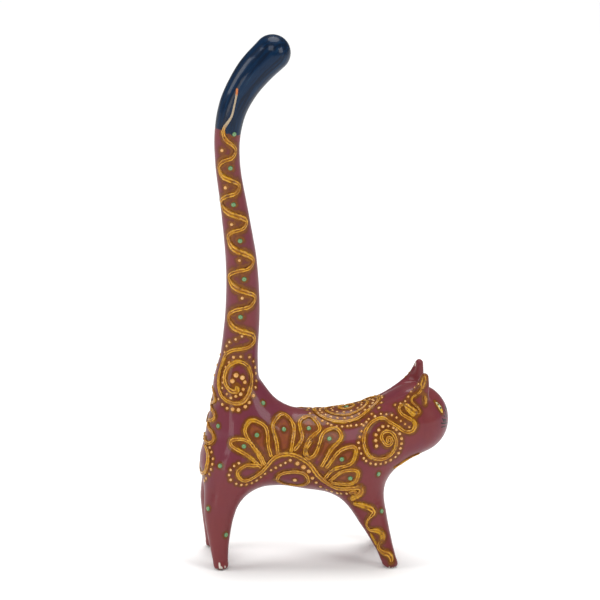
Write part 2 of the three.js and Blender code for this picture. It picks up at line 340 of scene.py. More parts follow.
def new_paint(name, roughness, coat, coat_roughness=0.08):
    """A new material with its shader; a number the same all over is set on the shader."""
    material = bpy.data.materials.new(name)
    material.use_nodes = True
    tree = material.node_tree
    shader = tree.nodes["Principled BSDF"]
    shader.inputs["Roughness"].default_value = roughness
    shader.inputs["Coat Weight"].default_value = coat
    shader.inputs["Coat Roughness"].default_value = coat_roughness
    place = add_node(tree, "TexCoord").outputs["Object"]
    return material, tree, shader, place


def coloured(tree, shader, colour):
    tree.links.new(colour, shader.inputs["Base Color"])


def raised(tree, shader, height, strength, distance):
    """Fine relief on the shader, its distance in metres."""
    inputs = {"Height": height, "Strength": strength, "Distance": distance}
    tree.links.new(add_node(tree, "Bump", inputs).outputs[0], shader.inputs["Normal"])


plum_red, plum_violet, plum_dark = linear(112, 48, 50), linear(104, 45, 58), linear(82, 32, 36)
navy, navy_light, navy_deep = linear(1, 32, 60), linear(20, 58, 82), linear(1, 19, 40)
amber_wash, brown_wash_and_shade, petal_brown = linear(120, 70, 14), linear(92, 46, 22), linear(132, 74, 30)
chip_pale, chip_dark, stroke_black = linear(206, 198, 186), linear(34, 22, 22), linear(16, 12, 14)

lacquer, tree, shader, place = new_paint("plum_lacquer", 0.4, 0.24)
axes = add_node(tree, "SeparateXYZ", {"Vector": place})
body_or_leg = ranged(tree, axes.outputs["Z"], legs_end, body_begins)
patches = speckle(tree, place, 34)
violet_share = arithmetic(tree, "MULTIPLY", ranged(tree, patches, 0.35, 0.68), body_or_leg)
plum = mixed(tree, violet_share, plum_red, plum_violet)
streaks = speckle(tree, place, 70, 4.0, 0.6, (1, 1, 0.25))
plum = mixed(tree, ranged(tree, streaks, 0.52, 0.8, 0, 0.5), plum, plum_dark)

# brush streaks that follow the bend of the tail
tail_place = add_node(tree, "Attribute", attribute_name="tail_place").outputs["Vector"]
brushed = speckle(tree, tail_place, 420, 5.0, 0.6, (1, 1, 0.07))
blue = mixed(tree, ranged(tree, brushed, 0.4, 0.56), navy_deep, navy)
blue = mixed(tree, ranged(tree, brushed, 0.57, 0.74, 0, 0.65), blue, navy_light)
ragged = speckle(tree, place, 260, 3.0)
ragged_by = ranged(tree, ragged, 0.3, 0.7, -edge_ragged, edge_ragged)
edge = arithmetic(tree, "ADD", axes.outputs["Z"], ragged_by)
edge = arithmetic(tree, "ADD", edge, arithmetic(tree, "MULTIPLY", axes.outputs["X"], edge_lean))
navy_share = ranged(tree, edge, plum_ends, navy_begins)

wash = carried(tree, "wash")
petal_fill = carried(tree, "petal_fill")
glaze = speckle(tree, place, 420, 4.0, 0.6)
fill_share = arithmetic(tree, "MULTIPLY", petal_fill, ranged(tree, glaze, 0.3, 0.7, 0.45, 0.9))
painted = mixed(tree, fill_share, plum, petal_brown)
wash_and_shade_share = arithmetic(tree, "MULTIPLY", wash, ranged(tree, glaze, 0.3, 0.7, 0.55, 1.1))
# the brown band round the lines and dots is partly the antique glaze and partly painted shade beside the
# raised beads
painted = mixed(tree, ranged(tree, wash_and_shade_share, 0.0, 0.5, 0, 0.9), painted, brown_wash_and_shade)
painted = mixed(tree, ranged(tree, wash_and_shade_share, 0.3, 0.8, 0, 0.85), painted, amber_wash)
painted = mixed(tree, navy_share, painted, blue)


def stroke_share(tree, place, start, end, half_width):
    """How far a brush stroke between two points, in millimetres, covers each spot."""
    core, fringe = 0.7, 1.3
    start, along = Vector(start) * mm, (Vector(end) - Vector(start)) * mm
    gone = add_node(tree, "VectorMath", {0: place, 1: start}, operation="SUBTRACT").outputs[0]
    unit = along / along.length_squared
    share = add_node(tree, "VectorMath", {0: gone, 1: unit}, operation="DOT_PRODUCT").outputs["Value"]
    share = ranged(tree, share, 0, 1, smooth=False)
    reached = add_node(tree, "VectorMath", {0: along, "Scale": share}, operation="SCALE").outputs[0]
    off = add_node(tree, "VectorMath", {0: gone, 1: reached}, operation="DISTANCE").outputs["Value"]
    return ranged(tree, off, core * half_width * mm, fringe * half_width * mm, 1, 0)


# a stroke's start, its end and its half width; all are drawn on both sides of the middle plane, but the
# far hind foot stands too close to it to meet the chips
face_strokes = [
    ((67.4, 7.8, 85), (67.7, 7.9, 83), 0.55), ((65.2, 12.1, 83.3), (66.2, 11.1, 81.3), 0.5),
    ((67, 9.8, 81.7), (67.4, 9.2, 79.9), 0.45), ((64.5, 13.2, 78.8), (67.9, 7.9, 77.9), 0.35),
    ((68.4, 0, 87), (67.4, 4.6, 87.2), 1.1), ((68.8, 0, 85.6), (68.2, 3.4, 86), 1),
    ((69.2, 0, 85), (69.5, 0, 81), 0.4), ((66.6, 7.8, 87.2), (67.4, 7.4, 85.7), 0.55),
    ((67.5, 7.6, 84.9), (67.9, 7.3, 83.3), 0.6), ((66.1, 10.4, 84.5), (67.1, 9.4, 83.8), 0.42),
    ((65.9, 11.6, 82.5), (67.6, 8.6, 81.7), 0.45), ((64.2, 13.6, 81.3), (66.3, 11, 80.2), 0.34),
    ((66.3, 11, 80.2), (68.2, 7, 79.3), 0.34), ((68.2, 7, 79.3), (69.2, 3, 79.6), 0.34),
    ((69.2, 3, 79.6), (69.5, 0, 81), 0.34),
]
chip_strokes = [
    ((-59.2, 25.6, 4.6), (-58.8, 26, 1.2), 0.6), ((-58.2, 26, 2.2), (-57.4, 26, 0.8), 0.75),
    ((-55.6, 25.6, 2.6), (-55.5, 25.6, 1.6), 0.7), ((51.6, 12, 107), (51.9, 12.6, 108.4), 0.5),
]
off_plane = arithmetic(tree, "ABSOLUTE", axes.outputs["Y"])
folded = {"X": axes.outputs["X"], "Y": off_plane, "Z": axes.outputs["Z"]}
both_sides = add_node(tree, "CombineXYZ", folded).outputs[0]
for strokes, colour in ((face_strokes, stroke_black), (chip_strokes, chip_pale)):
    covered = 0.0
    for start, end, half_width in strokes:
        stroke = stroke_share(tree, both_sides, start, end, half_width)
        covered = arithmetic(tree, "MAXIMUM", stroke, covered)
    painted = mixed(tree, covered, painted, colour)

# small flakes are missing where the soles rub, first down to a dark ground and then to the pale pulp
flakes = speckle(tree, place, 900, 2.0)
near_sole = ranged(tree, axes.outputs["Z"], sole_rim, unworn_height, 0.16, -0.2)
worn = arithmetic(tree, "ADD", flakes, near_sole)
painted = mixed(tree, ranged(tree, worn, 0.6, 0.64), painted, chip_dark)
painted = mixed(tree, ranged(tree, worn, 0.69, 0.71), painted, chip_pale)
coloured(tree, shader, painted)
satin = ranged(tree, speckle(tree, place, 90), 0.3, 0.7, 0.34, 0.46)
tree.links.new(satin, shader.inputs["Roughness"])
shader.inputs["Specular IOR Level"].default_value = 0.1
bristles = arithmetic(tree, "MULTIPLY", brushed, arithmetic(tree, "MULTIPLY", navy_share, bristle_depth))
grain_height = arithmetic(tree, "ADD", speckle(tree, place, 240, 3.0), bristles)
raised(tree, shader, grain_height, 0.22, 0.0004)
skin.data.materials.append(lacquer)
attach(skin, "root")
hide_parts("cat")

# where each corner lies across and along the tail, for the brush streaks
tail_centres = curve_through(np.array(tail, float)[:upper_stations, :3], 24)
tail_runs = np.r_[0, np.cumsum(np.linalg.norm(np.diff(tail_centres, axis=0), axis=1))]
tail_ways = np.gradient(tail_centres, axis=0)
tail_ways /= np.linalg.norm(tail_ways, axis=1)[:, None]
centre_tree = kdtree.KDTree(len(tail_centres))
for index, centre in enumerate(tail_centres):
    centre_tree.insert(centre, index)
centre_tree.balance()
nearest = np.array([centre_tree.find(point)[1] for point in smooth_form])
from_centre = smooth_form - tail_centres[nearest]
beside = from_centre[:, 0] * tail_ways[nearest, 2] - from_centre[:, 2] * tail_ways[nearest, 0]
tail_places = np.stack([beside, from_centre[:, 1], tail_runs[nearest]], 1) * mm
tail_values = skin.data.attributes.new("tail_place", "FLOAT_VECTOR", "POINT")
tail_values.data.foreach_set("vector", tail_places.ravel())

# The gold lines: relief paste piped onto the lacquer from a cone, then gilded and glazed amber. Each
# bead has a groove along its middle, so its two rims catch the light. Drawn points are [x, z] on a flank.
surface = bvhtree.BVHTree.FromPolygons(
    [vertex.co / mm for vertex in skin.data.vertices],
    [list(polygon.vertices) for polygon in skin.data.polygons],
)
near_side, far_side = -1, 1
beyond_flank, beyond_back, beyond_rump = 60, 150, 120


def onto_skin(point, direction):
    """Where a point that is moved along a direction meets the skin, and which way the skin faces there."""
    place_on, facing, _, _ = surface.ray_cast(Vector(point), Vector(direction))
    if place_on is None:
        place_on, facing, _, _ = surface.find_nearest(Vector(point))
    return place_on, facing


def on_flank(side):
    return lambda x, z: onto_skin((x, side * beyond_flank, z), (0, -side, 0))


def from_above(x, y):
    return onto_skin((x, y, beyond_back), (0, 0, -1))


def from_behind(y, z):
    return onto_skin((-beyond_rump, y, z), (1, 0, 0))


def spaced(points, step):
    """Points spread evenly along a line of points, about a step apart."""
    points = np.asarray(points, float)
    run = np.r_[0, np.cumsum(np.linalg.norm(np.diff(points[:, :3], axis=0), axis=1))]
    count = max(3, round(run[-1] / step))
    even = np.linspace(0, run[-1], count + 1)
    return np.stack([np.interp(even, run, column) for column in points.T], 1), even


# half a bead from its foot to its middle, as shares of its half width and its height
bead_profile = [
    (1.0, -0.45), (1.0, 0.05), (0.93, 0.42), (0.8, 0.76), (0.62, 0.98), (0.44, 1.0), (0.24, 0.8),
    (0, 0.72),
]
bead_profile += [(-across, rise) for across, rise in bead_profile[-2::-1]]
usual_half_width = 1.2
ring_step = 0.62
least_taper, blunt_end = 0.12, 0.05
uneven_pressure, uneven_lean = 0.16, 0.22
tallest_share, root_share = 1.15, 1.6
line_paths = []


def piped_line(name, drawn, land, half_width=usual_half_width, steps=6, height=0.8):
    """A bead along a smooth curve through the drawn points, laid on the skin ring by ring. A drawn
    point's third number, where there is one, is the bead's half width there."""
    rows = [(*point, half_width)[:3] for point in drawn]
    landed = [(*land(a, b)[0], width) for a, b, width in curve_through(rows, steps)]
    path, run = spaced(landed, ring_step)
    for _ in range(2):
        path[1:-1] = (path[:-2] + 2 * path[1:-1] + path[2:]) / 4
    path, widths = path[:, :3], path[:, 3]
    corners, across_values, along_values = [], [], []
    for i, (point, reach, wide) in enumerate(zip(path, run, widths)):
        point, up, _, _ = surface.find_nearest(Vector(point))
        along = Vector(path[min(i + 1, len(path) - 1)] - path[max(i - 1, 0)]).normalized()
        sideways = up.cross(along).normalized()
        from_end = min(reach, run[-1] - reach) / wide
        taper = max(least_taper, math.sin(min(1, from_end + blunt_end) * math.pi / 2))
        pressure = 1 + uneven_pressure * noise.noise(Vector((reach / 5, point.x, point.z)))
        lean = uneven_lean * noise.noise(Vector((point.x / 9, point.z / 9, reach / 12)))
        rise_here = height * min(tallest_share, (wide / usual_half_width) ** 0.6) * taper * pressure
        for across, rise in bead_profile:
            lift = rise * rise_here * (1 + lean * across) if rise > 0 else rise * height * root_share
            corners.append(point + sideways * (across * wide * pressure * taper) + up * lift)
            across_values.append(across)
            along_values.append(reach)
    sides = len(bead_profile)
    faces = []
    for ring in range(len(path) - 1):
        for side in range(sides):
            a = ring * sides + side
            b = ring * sides + (side + 1) % sides
            faces.append((a, b, b + sides, a + sides))
    faces.append(tuple(reversed(range(sides))))
    last = len(corners) - sides
    faces.append(tuple(range(last, last + sides)))
    mesh = bpy.data.meshes.new(name)
    mesh.from_pydata([corner * mm for corner in corners], [], faces)
    carry(mesh, "across", across_values)
    carry(mesh, "along", along_values)
    line = bpy.data.objects.new(name, mesh)
    bpy.context.scene.collection.objects.link(line)
    line_paths.append((path, widths))
    return line


def gathered(name, pieces):
    """Joins pieces of one paint into one mesh that rides with the cat."""
    select_only(pieces)
    bpy.ops.object.join()
    joined = bpy.context.object
    joined.name = joined.data.name = name
    bpy.ops.object.mode_set(mode="EDIT")
    bpy.ops.mesh.select_all(action="SELECT")
    bpy.ops.mesh.normals_make_consistent(inside=False)
    bpy.ops.object.mode_set(mode="OBJECT")
    shade_smooth(joined.data)
    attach(joined, "root")


tail_thread = [(-51.4, 270.9, 0.6), (-51.5, 268.4, 0.6), (-52.8, 261.1, 0.5), (-54.3, 254.8, 0.6)]
tail_turns = [
    (-58.5, 247.2), (-51.8, 235.2), (-60.3, 225.4), (-49.5, 214.9), (-58.6, 206), (-45.3, 194.9),
    (-54.9, 186.5), (-41.3, 172.9), (-54, 163.5), (-40.1, 152.3), (-54.1, 140.6), (-40.1, 129.4),
]
turn_width, down_width, back_width = 1.05, 1.9, 1.35
top_share, share_step = 0.72, 0.07
down_shape = [(0, 0), (0.18, 0.4), (0.66, 0.65), (0.93, 0.83)]
back_shape = [(0, 0), (0.2, 0.35), (0.7, 0.52), (0.96, 0.78)]
tail_wave = []
for index, ((x0, z0), (x1, z1)) in enumerate(zip(tail_turns, tail_turns[1:])):
    middle_width = back_width if index % 2 else down_width * min(1, top_share + share_step * index)
    for across_share, down_share in (back_shape if index % 2 else down_shape):
        width = turn_width + (middle_width - turn_width) * math.sin(math.pi * down_share)
        tail_wave.append((x0 + (x1 - x0) * across_share, z0 + (z1 - z0) * down_share, width))
rump_spiral = [
    (-40.6, 127.6), (-43.2, 125.2), (-46.9, 124.3), (-51.7, 123.3), (-54.7, 121), (-57.8, 112.9),
    (-59.3, 103.4), (-57, 96.4), (-49.9, 94, 1.3), (-46, 95.4, 1.55), (-43.6, 98.4, 1.5),
    (-41.7, 107.3, 1.3), (-44, 114.5), (-49, 117.2), (-54.3, 113.5, 1.3), (-56.3, 106.4, 1.3),
    (-54.1, 101.8, 1.4), (-51.4, 100.4, 1.7), (-49.4, 101.4, 1.9), (-50.4, 103.6, 1.5),
]
arch = [
    (-37.2, 60.6, 1.5), (-40.7, 60.6, 1.5), (-44.6, 60.8), (-49.7, 57), (-46.2, 51.8),
    (-36.9, 55.6, 1.3), (-28.5, 65.3, 1.4), (-19.9, 66.4, 1.5), (-10.6, 61.9, 1.5), (-2.8, 52.1, 1.6),
    (6, 46.3, 1.5), (14.4, 47, 1.6), (18.4, 47.4, 1.8), (19.5, 45.6, 1.8), (18.3, 43.1, 1.9),
    (15.5, 41.1, 1.7), (14.1, 38.9, 1.3),
]
arch_knot = [(12.6, 44, 1.2), (15.4, 44.6, 1.7), (17.4, 45, 1.7)]
petals = [
    [(-35.7, 58.7), (-44.5, 66.6), (-52.9, 71.7), (-52.7, 74.1), (-45.2, 74.9), (-37.8, 67.5),
     (-33.9, 60.1)],
    [(-34.8, 59.7), (-38.4, 67.5), (-45.5, 79.7), (-42.1, 85.3), (-34, 81.2), (-32.6, 71.1), (-30.6, 64.9)],
    [(-27, 65.6), (-27.9, 72.8), (-29.9, 82.5), (-24.3, 86.3), (-18.3, 80.9), (-19.2, 72.4), (-20.2, 67.2)],
    [(-18.6, 68.1), (-13.6, 74.5), (-14.7, 82), (-7.9, 83.6), (-3.5, 79), (-9.9, 73.9), (-12.2, 66.3),
     (-8.7, 63.3)],
    [(-3.2, 58.9), (2.3, 68.7), (8.3, 75.5), (5.7, 79.1), (-1.8, 77), (-4.8, 69.9), (-7.2, 65.7),
     (-10.3, 64.5), (-11.6, 67.6), (-10.9, 70.5), (-8.1, 73.3)],
    [(-0.6, 58.2), (7.8, 68.7), (15.8, 70), (14, 62.1), (3.1, 57.3), (-1, 51.5)],
    [(1.5, 50.3), (9.1, 57), (17.1, 57.1), (15.4, 50.5), (6.4, 49.2), (2.4, 49.7)],
]
shoulder_line = [
    (34.8, 72, 1.1), (33.4, 73.8, 1.2), (33.8, 75.4, 1.1), (35.6, 75), (36.2, 73.2), (35.3, 71.2),
    (33.4, 70.8), (31.7, 72.4), (30.3, 74.8), (30.7, 77.2), (32.9, 78.7), (36, 78), (37.9, 75.6),
    (38.5, 71), (36.6, 66.4), (32.9, 63.4), (27.7, 63.4), (23.3, 65.6), (20.8, 70.5), (20.5, 75.8),
    (22.2, 79.6), (25.4, 83.1), (29.4, 85.2), (32.3, 85.3), (34.3, 83.9), (37.3, 82.5), (40.3, 80.6),
    (43.4, 78.6), (46.4, 78.5, 1.4), (48.6, 80.7, 1.4), (48.8, 83.2), (46.8, 85.3), (43.3, 87.2),
    (40.8, 89.1, 1.1), (40.1, 90.9, 1), (40.9, 92.4, 0.9), (43.3, 93.5, 1),
]
shoulder_knot = [(42.8, 93.4, 1.4), (45.5, 91.7, 2), (47.7, 89.9, 2.1), (50.6, 88.4, 1.5)]
knot_fill = [(43.4, 91.8, 1.1), (45.2, 90.4, 1.4), (47.2, 88.4, 1.4), (48.9, 87.3, 1.1)]
ear_thread = [
    (50.4, 88.2, 0.8), (51.6, 89.4, 0.7), (50.8, 91.3, 0.65), (48.8, 93.2, 0.6), (47, 95.1, 0.6),
    (47.3, 97.1, 0.6), (49.3, 98.6, 0.65), (51.3, 100.1, 0.8), (52.4, 102, 1),
]
ear_leaf = [(52.4, 101.8, 0.9), (53, 104.6, 1.8), (53.6, 107.1, 1.7), (54.1, 109.4, 0.9)]
face_leaf = [(54.1, 98.3, 0.7), (54.7, 95.8, 1.1), (54.4, 93, 0.6)]
throat_line = [(38.2, 54.8, 0.8), (43.3, 57.7, 0.9), (48.1, 60.9, 0.9), (53.2, 62.9, 0.7)]
vine = [
    (15.3, 37.3, 1.1), (20.4, 36.7, 1.7), (25.4, 34.4, 1.8), (26.6, 32.7, 1.6), (25.6, 31, 1.2),
    (23.6, 28.4, 0.8), (23.1, 24.7, 0.8), (24.9, 22.1, 1), (28.3, 22.1, 1.5), (31.6, 20, 1.6),
    (31.8, 16.8, 1.5), (30.2, 14.6, 1), (29.9, 12, 1.2), (32.6, 9.4, 1.7), (35.3, 8.4, 1.9),
    (36.6, 6.2, 1.7), (36.8, 3.9, 0.9),
]
vine_strand = [(25.2, 20.1, 0.6), (27.6, 15.6, 0.7), (29.2, 12.9, 0.8)]
crescent = [
    (-27.3, 50.2), (-25.9, 54.1), (-21.5, 55.7), (-15, 56), (-11, 53.8), (-9.8, 49, 1.1),
    (-12.5, 46.2, 0.8), (-18, 45.8, 0.8), (-24, 47.4, 0.8), (-27.3, 50.2, 0.9),
]
rear_scroll = [
    (-1.2, 99.4, 0.8), (-4.6, 96.8), (-6, 93.8), (-4.2, 91.6), (-0.9, 90.2), (-3.4, 87.9),
    (-7.5, 86.6), (-9.4, 84.3), (-7.6, 82.3), (-3, 80.6), (-5.5, 77.7), (-9.8, 76.4), (-12.4, 73.3),
    (-11.2, 70.2), (-6.5, 69.2), (-1.4, 71.4, 1.4),
]
rear_leaf = [
    (-5, 68, 1), (-11, 65.5, 1.5), (-14.2, 61.3, 1.7), (-14.6, 57.3, 1.6), (-12.8, 53.4, 1.3), (0, 50.4),
]
back_x, back_rings = 12.5, [(18, 13, 1.15), (11.8, 8.8, 0.8), (4.4, 3, 0.8)]


def mirror_rows(rows):
    return [(-row[0], *row[1:]) for row in rows]


def ring_points(half_length, half_width, count):
    """Points on the ring of that size round the middle of the back."""
    turns = np.arange(count + 1) * 2 * math.pi / count
    return [(back_x + half_length * math.sin(turn), half_width * math.cos(turn)) for turn in turns]


near, far = on_flank(near_side), on_flank(far_side)
wave_and_spiral = tail_wave + rump_spiral
lines = [
    piped_line("tail_line", tail_thread + wave_and_spiral, near, steps=4),
    piped_line("arch_line", arch, near),
    piped_line("arch_knot", arch_knot, near),
    piped_line("shoulder_line", shoulder_line, near),
    piped_line("shoulder_knot", shoulder_knot, near),
    piped_line("knot_fill", knot_fill, near),
    piped_line("ear_thread", ear_thread, near),
    piped_line("ear_leaf", ear_leaf, near),
    piped_line("vine", vine, near, 1.15),
    piped_line("vine_strand", vine_strand, near, 0.7),
    piped_line("crescent", crescent, near),
]
lines += [piped_line("petal", petal, near, 1.25) for petal in petals]
lines += [
    piped_line("far_tail_line", wave_and_spiral, far, steps=4),
    piped_line("far_arch_line", arch, far),
    piped_line("far_shoulder_line", shoulder_line, far),
    piped_line("far_vine", vine, far, 1.15),
]
lines += [piped_line("far_petal", petal, far, 1.25) for petal in petals[1::2]]
for land in (near, far):
    lines += [piped_line("face_leaf", face_leaf, land), piped_line("throat_line", throat_line, land)]
for rows in (rear_scroll, rear_leaf):
    lines += [piped_line("rear_line", side, from_behind, 1.1) for side in (rows, mirror_rows(rows))]
for half_length, half_width, bead in back_rings:
    lines.append(piped_line("back_ring", ring_points(half_length, half_width, 20), from_above, bead, 3))

gold_deep, gold, gold_bright = linear(84, 42, 6), linear(148, 92, 10), linear(184, 128, 18)
gold_rim_highlight, gold_yellow = linear(224, 176, 74), linear(184, 134, 8)
gilding, tree, shader, place = new_paint("gold_line", 0.38, 0.3)
off_middle = arithmetic(tree, "ABSOLUTE", carried(tree, "across"))
wander = ranged(tree, speckle(tree, place, 500, 3.0), 0.3, 0.7, -0.11, 0.11)
off_middle = arithmetic(tree, "ADD", off_middle, wander)
# across each bead the colour is painted dark at the foot, pale on each rim's crest and dark again in the
# groove: the pale crests are partly rubbed gilt and partly painted highlight, and the dark foot and groove
# are partly amber glaze and partly painted shade
bands = add_node(tree, "ValToRGB", {"Fac": off_middle})
ramp = bands.color_ramp
ramp.elements[0].color, ramp.elements[1].color = gold_deep, gold_deep
ramp.elements[1].position = 0.97
gold_bands = [(0.14, gold), (0.36, gold_bright), (0.5, gold_rim_highlight), (0.6, gold_bright), (0.76, gold)]
for position, colour in gold_bands:
    ramp.elements.new(position).color = colour
cloud = speckle(tree, place, 230, 3.0)
tone = mixed(tree, ranged(tree, cloud, 0.44, 0.66, 0, 0.8), bands.outputs["Color"], gold)
yellow = speckle(tree, place, 120, 2.0)
tone = mixed(tree, ranged(tree, yellow, 0.5, 0.68, 0, 0.6), tone, gold_yellow)
dull = speckle(tree, place, 340, 3.0)
tone = mixed(tree, ranged(tree, dull, 0.5, 0.7, 0, 0.7), tone, gold_deep)

# the thread on the navy tip isn't gilded, and its end is orange
high_up = add_node(tree, "SeparateXYZ", {"Vector": place}).outputs["Z"]
thread_grey, thread_orange = linear(168, 150, 124), linear(190, 110, 60)
grey_heights, orange_heights = (0.246, 0.252), (0.2665, 0.268)
tone = mixed(tree, ranged(tree, high_up, *grey_heights), tone, thread_grey)
tone = mixed(tree, ranged(tree, high_up, *orange_heights), tone, thread_orange)
coloured(tree, shader, tone)
shader.inputs["Specular IOR Level"].default_value = 0.15
raised(tree, shader, speckle(tree, place, 700, 3.0), 0.3, 0.0003)
for line in lines:
    line.data.materials.append(gilding)
gathered("gold_lines", lines)

# The eyes: a lengthwise drop of paint on each side of the head, with a yellow rim, a pale green ground
# and two black touches for the pupil and the lash.
eye_drop = [(61.1, 92.5, 0.5), (62.2, 91.1, 1.15), (63.3, 89.6, 1.4), (64.2, 88, 1.2), (65, 86.3, 0.5)]
eyes = [piped_line("eye", eye_drop, land, height=0.45) for land in (near, far)]
eye_green, eye_cream, eye_black = linear(150, 178, 128), linear(226, 226, 206), linear(12, 12, 14)
eye_yellow, eye_edge = linear(206, 164, 30), linear(84, 44, 16)
eye_middle, touch_offset = 3.1, 1.3
corner_begins, corner_full = 4.6, 5.2
eye_paint, tree, shader, place = new_paint("face_paint", 0.3, 0.5)
across = arithmetic(tree, "ABSOLUTE", carried(tree, "across"))
along = carried(tree, "along")
mottled = speckle(tree, place, 1500, 2.0)
ground = mixed(tree, ranged(tree, mottled, 0.35, 0.65), eye_green, eye_cream)
from_middle = arithmetic(tree, "ABSOLUTE", arithmetic(tree, "SUBTRACT", along, eye_middle))
from_touch = arithmetic(tree, "ABSOLUTE", arithmetic(tree, "SUBTRACT", from_middle, touch_offset))
off_touch = arithmetic(tree, "ADD", from_touch, across)
eye_tone = mixed(tree, ranged(tree, off_touch, 0.7, 0.95, 1, 0), ground, eye_black)
corner_share = ranged(tree, along, corner_begins, corner_full)
rim_share = arithmetic(tree, "MAXIMUM", ranged(tree, across, 0.5, 0.62), corner_share)
eye_tone = mixed(tree, rim_share, eye_tone, eye_yellow)
eye_tone = mixed(tree, ranged(tree, across, 0.86, 0.98), eye_tone, eye_edge)
coloured(tree, shader, eye_tone)
for eye in eyes:
    eye.data.materials.append(eye_paint)
gathered("eyes", eyes)

# The dots: drops of paste set by hand beside the lines, from pinhead size up, gilded like the lines.
# A drop is a low round cap that sinks a little into the lacquer.
sunk_share = 0.3
cap_height = 0.62
usual_share, uneven_share = 0.9, 0.22
dot_spots = []


def new_drop(segments, rings):
    """A ball with its foot cut off flat, as the model for the drops."""
    foot = (0, 0, -sunk_share * mm)
    bpy.ops.object.select_all(action="DESELECT")
    bpy.ops.mesh.primitive_uv_sphere_add(segments=segments, ring_count=rings, radius=mm)
    bpy.ops.object.mode_set(mode="EDIT")
    bpy.ops.mesh.select_all(action="SELECT")
    bpy.ops.mesh.bisect(plane_co=foot, plane_no=(0, 0, -1), clear_outer=True, use_fill=True)
    bpy.ops.object.mode_set(mode="OBJECT")
    return bpy.context.object


def set_dot(model, point, land, radius, height):
    """A copy of a drop on the skin."""
    spot, up = land(*point)
    dot_spots.append((spot, radius))
    turn = up.to_track_quat("Z", "Y").to_matrix().to_4x4()
    size = Matrix.Diagonal((radius, radius, height, 1))
    dot = model.copy()
    dot.data = model.data.copy()
    dot.data.transform(Matrix.Translation(spot * mm) @ turn @ size)
    bpy.context.scene.collection.objects.link(dot)
    return dot


def dot_row(through, count, land, radius, last_radius=None):
    """Drops spread evenly along a curve. Their sizes change evenly, but for the hand's unevenness."""
    smooth = curve_through(through, 8) if len(through) > 1 else np.array(through * 2, float)
    even, _ = spaced(smooth, 1)
    picked = np.linspace(0, len(even) - 1, count)
    made = []
    for i, pick in enumerate(picked):
        point = even[round(pick)]
        share = i / max(1, count - 1)
        size = radius + ((last_radius or radius) - radius) * share
        size *= usual_share + uneven_share * noise.noise(Vector((point[0] * 0.9, point[1] * 0.9, i * 1.7)))
        made.append(set_dot(drop, point, land, size, size * cap_height))
    return made


# each row's curve, its number of drops, and the half width of the first and the last
flank_rows = [
    ([(-52.3, 106.2), (-50.3, 109.4), (-47.1, 108.4), (-45.3, 105.5), (-46.2, 101.7)], 5, 1.6, 1.2),
    ([(-47.7, 99.2), (-50.6, 97.9), (-53, 96.9), (-55.2, 98.8)], 4, 1.1, 0.8),
    ([(-53.9, 116), (-51.6, 119.2), (-45.2, 119.5), (-41.7, 118.5), (-39.3, 112.2)], 6, 1.05, 0.8),
    ([(-38.9, 108.8), (-38.6, 105.3), (-40.6, 97.9), (-45, 92.7), (-48.9, 90.8)], 7, 0.8, 1.1),
    ([(-52.1, 90.9), (-55.9, 91.3), (-59.5, 94.8)], 4, 1.25, 0.8),
    ([(-55.7, 113.2), (-57, 108.2), (-57.6, 101.7)], 5, 0.85, 0.7),
    ([(-47.1, 131.3), (-50.5, 129.4), (-53.1, 128.1), (-55.3, 124.4), (-56.2, 121)], 5, 0.8, 0.8),
    ([(-48.8, 62), (-52.8, 59.1), (-54, 53.7), (-48.9, 49.6), (-40.7, 49.5), (-33.1, 55.5), (-20.3, 63)],
     17, 0.8, 0.85),
    ([(-16.2, 61.1), (-10.1, 56.8), (-7.2, 51.2), (-2.6, 45.5)], 6, 1.5, 1.0),
    ([(0.9, 43.4), (6.1, 41.9), (11.6, 42.9)], 5, 0.85, 0.75),
    ([(-17.1, 49.9)], 1, 1.3, 1.3),
    ([(27.6, 70.7), (27.2, 76.4), (31.5, 81.2), (37.4, 80.4), (41.2, 75.6), (41.4, 69.8), (39, 63.5),
      (30.9, 60.2), (22.2, 62.4), (17.5, 71.8), (20.6, 81.1)], 27, 1.0, 0.75),
    ([(30.2, 87.4), (36.6, 87.2), (41.4, 84.1), (45.8, 81)], 7, 0.7, 0.7),
    ([(38, 92.5), (43.1, 94.6), (46.9, 100.2), (50.7, 104.6)], 7, 0.7, 0.6),
    ([(25.2, 86.8), (21.7, 82.5), (12.2, 80.6), (4.3, 80.3), (-1.8, 82.3)], 12, 0.75, 0.8),
]
tail_dots = [(-59.1, 235.7), (-57, 214.8), (-53.4, 194.3), (-49, 174.2), (-47.2, 152.9)]
rear_dots = [(-11.4, 67.6), (-15.6, 64), (-17.1, 60.4), (-17.2, 56.6), (-15.8, 52.4), (-12, 48.6)]
back_dots = [
    (-9.6, 0), (-8.3, 4.5), (-5.6, 8), (-2, 10.6), (27, 14.9), (29.4, 11.2), (31.2, 6.8), (32.1, 1.4),
]
drop = new_drop(10, 8)
dots = []
for land in (near, far):
    for through, count, radius, last_radius in flank_rows:
        dots += dot_row(through, count, land, radius, last_radius)
    for spot in tail_dots:
        dots += dot_row([spot], 1, land, 0.95)
for rows in (rear_dots, mirror_rows(rear_dots)):
    dots += dot_row(rows, 8, from_behind, 0.85)
for spot in ((0, 118), (0, 112), (0, 106)):
    dots += dot_row([spot], 1, from_behind, 0.9)
for half_length, half_width, count, radius in ((15, 10.8, 23, 0.8), (8.6, 6.2, 13, 0.7)):
    for spot in ring_points(half_length, half_width, count)[1:]:
        dots.append(set_dot(drop, spot, from_above, radius, radius * cap_height))
for x, y in back_dots:
    for side in (near_side, far_side):
        dots.append(set_dot(drop, (x, side * y), from_above, 0.8, 0.5))

dot_gold, dot_peach = linear(196, 134, 46), linear(214, 164, 98)
dot_paint, tree, shader, place = new_paint("gold_dot", 0.36, 0.5, 0.1)
blend = speckle(tree, place, 150, 2.0)
tone = mixed(tree, ranged(tree, blend, 0.35, 0.65), dot_gold, dot_peach)
coloured(tree, shader, tone)
for dot in dots:
    dot.data.materials.append(dot_paint)
gathered("gold_dots", dots)

